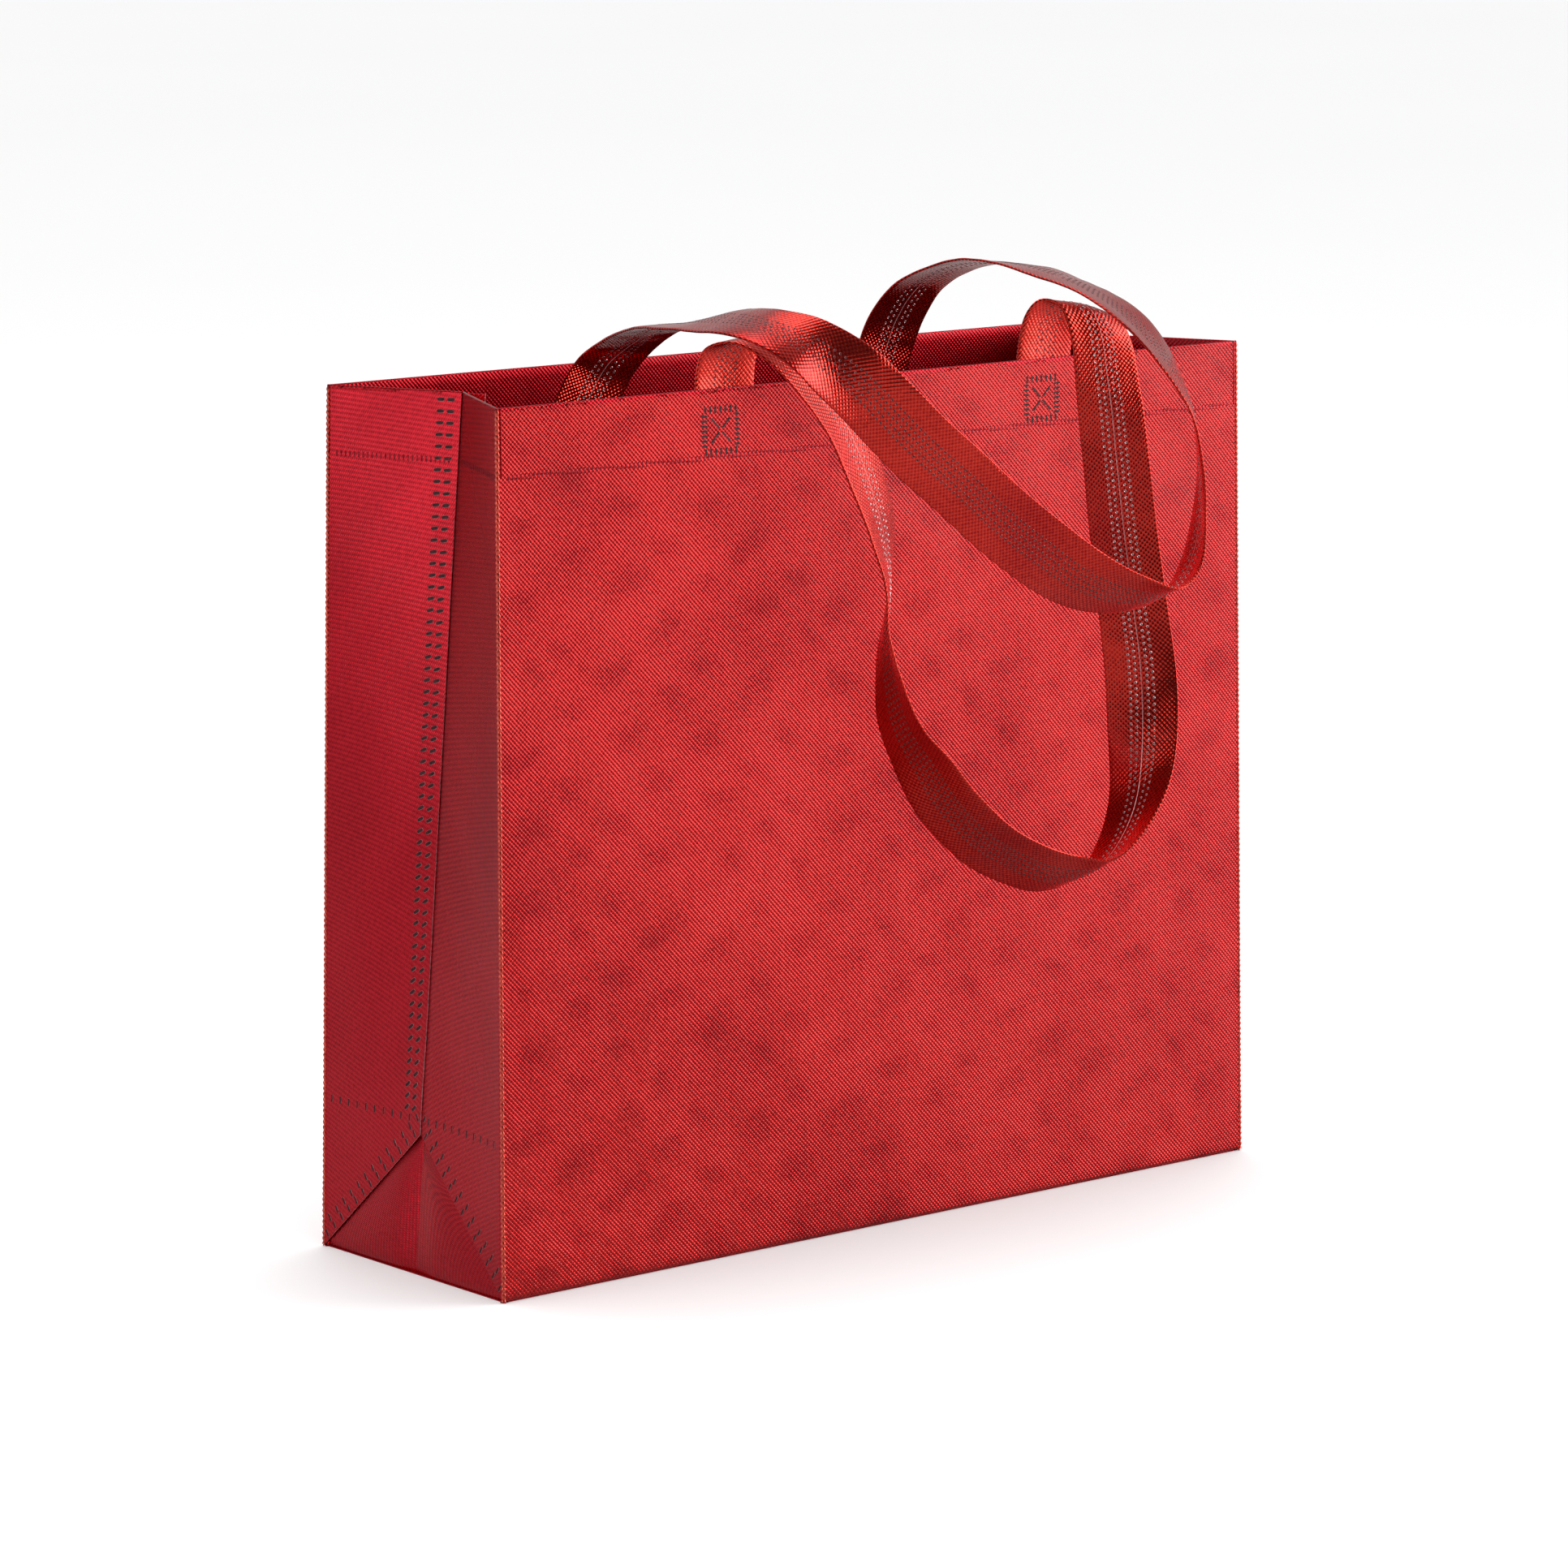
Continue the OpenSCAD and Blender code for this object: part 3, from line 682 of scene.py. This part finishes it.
# ---------------------------------------------------------------- straps
# Rows of each route, in millimetres: place with z from the rim, then direction across
FRONT_ROUTE = np.array([
    (-83, -53.3, -31, 10, 0, 0), (-83, -53.3, -12, 10, 0, 0), (-82, -53.4, 7, 10, 0, 0),
    (-79, -56, 17, 10, 0.5, 0.3), (-71.5, -62, 19.5, 9.8, 1.8, 0.8),
    (-63.5, -67, 15.5, 8.8, 3.8, 3), (-53, -71, 5, 7.6, 4.4, 4.8),
    (-41, -73, -10, 7.6, 4.2, 4.9), (-31, -74, -28, 8.3, 4.2, 3.8),
    (-24, -75, -45, 8.5, 4.4, 2.8), (-19, -76, -62, 8.3, 5.4, 1.3),
    (-17, -77, -80, 7.1, 7.1, 0), (-18, -77, -100, 5.9, 8.1, 0.1),
    (-16, -77, -120, 3.3, 9.4, 1), (-9, -76, -140, 0, 10, 0.2), (3, -76, -158, -2.4, 9.5, -1.8),
    (17, -76, -176, -3.5, 8.8, -3.4), (35, -76, -192, -3.2, 8.3, -4.6),
    (56, -76, -204, -2.3, 8, -5.5), (76, -77, -211, -0.5, 8.2, -5.7),
    (94, -79, -211, 1.6, 9.1, -3.9), (109, -79, -200, 1.2, 9.7, -2),
    (120, -77, -185, -0.9, 9.9, -1.1), (126, -74, -164, -4.6, 8.9, -0.4),
    (127.5, -71, -134, -7.8, 6.2, -0.6), (123.5, -69, -100, -9, 4.2, -1.3),
    (118.5, -68, -66, -9.2, 3.7, -1.4), (114, -68, -36, -9.4, 3.2, -1.3),
    (110.5, -67.5, -12, -9.7, 2.4, -0.8), (108, -66, 7, -9.8, 1.4, 0.6),
    (104.5, -62.5, 18.5, -9.7, 0.8, 1.8), (96.5, -57, 21.5, -9.7, 0, 2.2),
    (90.5, -54.3, 16, -9.9, 0, 1.3), (88, -53.4, 5, -10, 0, 0.4), (86, -53.3, -12, -10, 0, 0),
    (85, -53.3, -31, -10, 0, 0),
], float)
BACK_ROUTE = np.array([
    (-75, 53.3, -31, -8.8, 0, 4.8), (-67, 53.3, -16, -8.8, 0, 4.8),
    (-58.5, 52.5, -3, -9.6, 0, 2.8), (-54.5, 46, 5, -9.9, 0.5, 1.3),
    (-57, 30, 12, -9.9, 1.1, 0.6), (-62, 9, 17.5, -9.9, 1.4, 0),
    (-67, -14, 21.5, -9.8, 1.4, -1), (-72, -37, 24.5, -9.7, 0.6, -2),
    (-74, -57, 25.5, -9.5, -1, -2.6), (-71, -71, 23.5, -8.9, -2.8, -3.6),
    (-63, -80, 18, -7.5, -3.2, -5.8), (-52, -84, 9.5, -6.8, -1.2, -7.2),
    (-40, -87, 0, -6.4, 1.2, -7.6), (-26, -89, -13, -6.1, 2.8, -7.4),
    (-10, -90, -27, -5.9, 3.1, -7.4), (10, -90, -42, -5.8, 3.1, -7.5),
    (32, -90, -59, -5.5, 3.4, -7.6), (54, -90, -74, -4.7, 4.4, -7.6),
    (76, -90, -87, -3.1, 6.3, -7), (98, -91, -95, -1.1, 8.2, -5.6),
    (115, -92, -98, 0.7, 9.2, -3.9), (128, -92, -94, 2.9, 9, -3.2),
    (136.5, -92, -82, 4.6, 8.7, -1.6), (139.5, -93, -64, 5.6, 8.2, -0.4),
    (139, -93, -43, 6.2, 7.8, 0.2), (136.5, -91.5, -25, 6.8, 7.3, 0.7),
    (130.5, -88, -9, 7.4, 6.7, 0.8), (123, -81, 6.5, 8.2, 5.7, 0.4),
    (117, -69, 18, 9, 4.2, -0.4), (113.5, -51, 26.5, 9.6, 2.4, -1.1),
    (111.5, -30, 31.5, 9.9, 1, -1.4), (111, -9, 34, 9.9, 0.6, -1.3),
    (110, 11, 33.5, 9.9, 0.7, -1), (107.5, 29, 29.5, 9.9, 1, -1),
    (103.5, 42.5, 21.5, 9.8, 1, -1.4), (99, 50, 10, 9.7, 0.6, -2.2),
    (95, 53, -2, 9.6, 0.1, -2.7), (91, 53.3, -16, 9.6, 0, -2.8), (87, 53.3, -31, 9.6, 0, -2.8),
], float)
LAYER = 0.36 * MM
HALF_THICK = 0.52 * MM
SLIT = 0.14 * MM
FINE = 1.6 * MM


def route_value(rows, s):
    """Smooth curve through the rows of a route, at steps s."""
    last = len(rows) - 1
    i = np.clip(np.floor(s).astype(int), 0, last - 1)
    t = (s - i)[:, None]
    a, b, c, d = rows[np.maximum(i - 1, 0)], rows[i], rows[i + 1], rows[np.minimum(i + 2, last)]
    return (2 * b + (c - a) * t + (2 * a - 5 * b + 4 * c - d) * t ** 2 + (3 * b - a - 3 * c + d) * t ** 3) / 2


class Strap:
    """A stretch of a flat strap, from step s0 to step s1 of a route."""

    def __init__(self, rows, s0, s1, seed):
        rows = rows.copy()
        rows[:, :3] *= MM
        rows[:, 2] += RIM
        dense = np.linspace(0, len(rows) - 1, 4000)
        line = route_value(rows, dense)[:, :3]
        far = run_length(line[None], 1)[0]
        lo, hi = np.interp([s0, s1], dense, far)
        self.length = hi - lo
        self.along = np.linspace(lo, hi, max(2, int(round((hi - lo) / FINE)) + 1))
        s = np.interp(self.along, far, dense)
        value = route_value(rows, s)
        self.centre = value[:, :3]
        ahead = route_value(rows, np.clip(s + 0.02, 0, len(rows) - 1))[:, :3]
        behind = route_value(rows, np.clip(s - 0.02, 0, len(rows) - 1))[:, :3]
        self.tangent = unit(ahead - behind)
        self.across = unit(value[:, 3:])
        self.normal = unit(np.cross(self.across, self.tangent))
        self.seed = seed
        self.held = ease(0, 45 * MM, self.along) * ease(0, 45 * MM, far[-1] - self.along)

    def surface(self, ring, w, h):
        """Points at w across and h out of the strap, at ring numbers (fractions allowed)."""
        k = np.arange(len(self.along))
        along = np.interp(ring, k, self.along)

        def at(values):
            return np.stack([np.interp(ring, k, values[:, c]) for c in range(3)], -1)

        share = w / (STRAP_W / 2)
        held = np.interp(ring, k, self.held)
        cup = 0.4 * MM * waves(self.seed, 0.12, along, 0 * along) * (share ** 2 - 0.33)
        frill = 0.2 * MM * waves(self.seed + 1, 0.035, along, 0.3 * w) * share ** 2
        crease = 0.07 * MM * waves(self.seed + 2, 0.011, along, w * 0.8)
        dent = 0.55 * MM * waves(self.seed + 3, 0.045, along, 1.5 * w)
        h = h + (cup + frill + dent) * held + crease
        return at(self.centre) + at(self.across) * w[..., None] + at(self.normal) * h[..., None]

    def mesh(self, name):
        """The folded strap: a sheet with both edges turned to the middle of the seam side."""
        edge = STRAP_W / 2 - HALF_THICK
        turn = np.linspace(-np.pi / 2, np.pi / 2, 7)[1:-1]
        flat = np.array([SLIT / 2, 0.18 * MM, 3 * MM, 5 * MM, 7.5 * MM, 10 * MM, 12.5 * MM, edge])
        w = np.concatenate([flat, edge + HALF_THICK * np.cos(turn), np.linspace(edge, -edge, 13),
                            -(edge + HALF_THICK * np.cos(turn)), -flat[::-1]])
        h = np.concatenate([0 * flat - HALF_THICK, HALF_THICK * np.sin(turn), np.full(13, HALF_THICK),
                            HALF_THICK * np.sin(-turn), 0 * flat - HALF_THICK])
        pressed = mix(0.82, 1.0, ease(5 * MM, 8 * MM, np.abs(w)))
        h = h * pressed
        lean = np.where(np.abs(w) > edge, 1, 0)
        centre_w = np.clip(w, -edge, edge)
        inner_w = np.where(lean, centre_w + (w - centre_w) * (1 - LAYER / HALF_THICK), w)
        shrink = (np.abs(h) - LAYER) / np.maximum(np.abs(h), 1e-9)
        inner_h = h * np.where(lean, 1 - LAYER / HALF_THICK, shrink)
        all_w = np.concatenate([w, inner_w[::-1]])
        all_h = np.concatenate([h, inner_h[::-1]])
        n, rings = len(all_w), len(self.along)
        ring = np.repeat(np.arange(rings, dtype=float), n)
        points = self.surface(ring, np.tile(all_w, rings), np.tile(all_h, rings))
        path = run_length(np.stack([w, h], -1)[None], 1)[0]
        path = np.concatenate([path, path[::-1]])
        uvs = np.stack([np.tile(path, rings), np.repeat(self.along, n)], -1)
        i, j = np.meshgrid(np.arange(rings - 1), np.arange(n), indexing="ij")
        a, b = (i * n + j).ravel(), (i * n + (j + 1) % n).ravel()
        faces = np.stack([a, a + n, b + n, b], 1).tolist()
        column = j.ravel()
        silver = np.isin(column, [0, len(w) - 2, len(w) - 1, n - 1])
        slots = np.where(silver, 1, 0).tolist()
        half = n // 2
        for first, order in ((0, 1), ((rings - 1) * n, -1)):
            for c in range(half - 1):
                quad = [first + c, first + c + 1, first + n - 2 - c, first + n - 1 - c]
                faces.append(quad[::order])
                slots.append(1)
        materials = [strap_film, cut_edge, silver_dot, grey_dot, tick_red]
        dot_points, dot_faces, dot_slots = self.dots(len(points))
        points = np.concatenate([points, dot_points])
        uvs = np.concatenate([uvs, np.zeros((len(dot_points), 2))])
        faces += dot_faces
        slots += dot_slots
        return add_mesh(name, points, faces, uvs, materials, slots, sharp=60)

    def dots(self, first):
        """Small welded cups in staggered columns: five on the face side, and four on the seam
        side, where the slit takes the place of the middle one."""
        pitch = 2.7 * MM
        n = 6
        turn = np.linspace(0, 2 * np.pi, n + 1)[:-1]
        points, faces, slots = [], [], []
        steps = np.arange(self.along[0] + pitch, self.along[-1] - pitch / 2, pitch / 2)
        middle = 0.82 * HALF_THICK
        for out, slot in ((-1, 2), (1, 3)):
            columns = (-2, -1, 1, 2) if out < 0 else (-2, -1, 0, 1, 2)
            for number, here in enumerate(steps):
                for column in columns:
                    if (column + number) % 2:
                        continue
                    w0 = column * 2.45 * MM
                    ring0 = (here - self.along[0]) / (self.along[1] - self.along[0])
                    for radius, height in ((0.66, 0.0), (0.5, 0.16), (0.28, 0.04)):
                        w = w0 + radius * MM * np.cos(turn)
                        ring = ring0 + radius * MM * np.sin(turn) / (self.along[1] - self.along[0])
                        points.append(self.surface(ring, w, np.full(n, out * (middle + height * MM))))
                    for level in (0, 1):
                        for k in range(n):
                            a, b = first + level * n + k, first + level * n + (k + 1) % n
                            faces.append((a, b, b + n, a + n) if out < 0 else (a + n, b + n, b, a))
                            slots.append(slot)
                    cap = [first + 2 * n + k for k in range(n)]
                    faces.append(cap if out < 0 else cap[::-1])
                    slots.append(4)
                    first += 3 * n
        return np.concatenate(points), faces, slots


def declare_strap(obj):
    """The strap casts no shadow and is left out of reflections, as in even, all-round light."""
    obj.visible_shadow = obj.visible_glossy = False


STRAP_END_F, STRAP_END_B = len(FRONT_ROUTE) - 1, len(BACK_ROUTE) - 1
LEFT_SPLIT, RIGHT_SPLIT = 7.4, 29.6
FRONT_SEED, BACK_SEED = 200, 210

strap = Strap(FRONT_ROUTE, 0, STRAP_END_F, FRONT_SEED)
obj = strap.mesh("front_strap")
front_nodes = ["front_left_tab", "front_left_fold", "front_handle", "front_right_fold", "front_right_tab"]
place_piece(obj, front_nodes, None)
declare_strap(obj)
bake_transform(obj)

for name, s0, s1, nodes in (
    ("back_strap_left", 0, LEFT_SPLIT, ["back_left_tab", "back_left_fold", "back_left_arch"]),
    ("back_strap_right", RIGHT_SPLIT, STRAP_END_B, ["back_right_tab", "back_right_fold", "back_right_arch"]),
):
    strap = Strap(BACK_ROUTE, s0, s1, BACK_SEED)
    obj = strap.mesh(name)
    place_piece(obj, nodes, None)
    declare_strap(obj)
    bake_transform(obj)

strap = Strap(BACK_ROUTE, LEFT_SPLIT, RIGHT_SPLIT, BACK_SEED)
obj = strap.mesh("back_strap_bow")
place_piece(obj, ["back_left_bend", "back_handle", "back_right_bend"], None)
declare_strap(obj)
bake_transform(obj)


# ---------------------------------------------------------------- floor and light
def add_floor():
    m = Material("floor_paint")
    place = m.node("ShaderNodeTexCoord", out=3)
    cloud = m.noise(place, 0.8, 2.0)
    pale = m.colour(cloud, (0.97, 0.97, 0.97, 1), (0.95, 0.95, 0.955, 1))
    # In reflections the floor is painted mid grey instead of white: painted shade that darkens what the film
    # reflects of the floor
    mirrored = m.node("ShaderNodeLightPath", out=3)
    m.set(Base_Color=m.colour(mirrored, pale, (0.34, 0.34, 0.34, 1)), Roughness=0.7)
    reach = 14.0
    mesh = bpy.data.meshes.new("floor")
    corners = [(-reach, -reach, 0), (reach, -reach, 0), (reach, reach, 0), (-reach, reach, 0)]
    mesh.from_pydata(corners, [], [(0, 1, 2, 3)])
    mesh.materials.append(m.material)
    floor = bpy.data.objects.new("floor", mesh)
    bpy.context.scene.collection.objects.link(floor)


def add_softbox(name, place, target, width, height, power):
    data = bpy.data.lights.new(name, "AREA")
    data.shape = "RECTANGLE"
    data.size, data.size_y = width, height
    data.energy = power
    lamp = bpy.data.objects.new(name, data)
    lamp.location = place
    lamp.rotation_euler = (Vector(target) - Vector(place)).to_track_quat("-Z", "Y").to_euler()
    bpy.context.scene.collection.objects.link(lamp)


def add_world():
    """A pale room for the floor and the camera. In reflections it is bright behind the bag and dim
    on the camera's side, as a studio with one white backdrop is."""
    world = bpy.data.worlds.new("studio")
    bpy.context.scene.world = world
    world.use_nodes = True
    world.cycles.sampling_method = "NONE"
    tree = world.node_tree
    plain = tree.nodes["Background"]
    plain.inputs[0].default_value = (1, 1, 1, 1)
    plain.inputs[1].default_value = 1.08
    place = tree.nodes.new("ShaderNodeTexCoord")
    toward = tree.nodes.new("ShaderNodeVectorMath")
    toward.operation = "DOT_PRODUCT"
    toward.inputs[1].default_value = (0.62, 0.74, 0.27)
    level = tree.nodes.new("ShaderNodeMapRange")
    for socket, value in zip(level.inputs[1:5], (-0.25, 0.65, 0.04, 0.62)):
        socket.default_value = value
    room = tree.nodes.new("ShaderNodeBackground")
    path = tree.nodes.new("ShaderNodeLightPath")
    both = tree.nodes.new("ShaderNodeMixShader")
    link = tree.links.new
    link(place.outputs["Generated"], toward.inputs[0])
    link(toward.outputs["Value"], level.inputs[0])
    link(level.outputs[0], room.inputs[1])
    link(path.outputs["Is Glossy Ray"], both.inputs[0])
    link(plain.outputs[0], both.inputs[1])
    link(room.outputs[0], both.inputs[2])
    link(both.outputs[0], tree.nodes["World Output"].inputs[0])


add_floor()
add_world()
add_softbox("softbox_right", (2.24, -1.52, 0.8), (0.0, -0.05, 0.2), 1.6, 1.5, 42)
add_softbox("softbox_left", (-2.0, 0.1, 0.6), (-0.2, 0, 0.2), 1.3, 1.1, 6)
add_softbox("softbox_top", (0.1, 0.2, 2.2), (0, 0, 0.2), 1.6, 1.4, 16)
bpy.context.scene.view_settings.view_transform = "Standard"
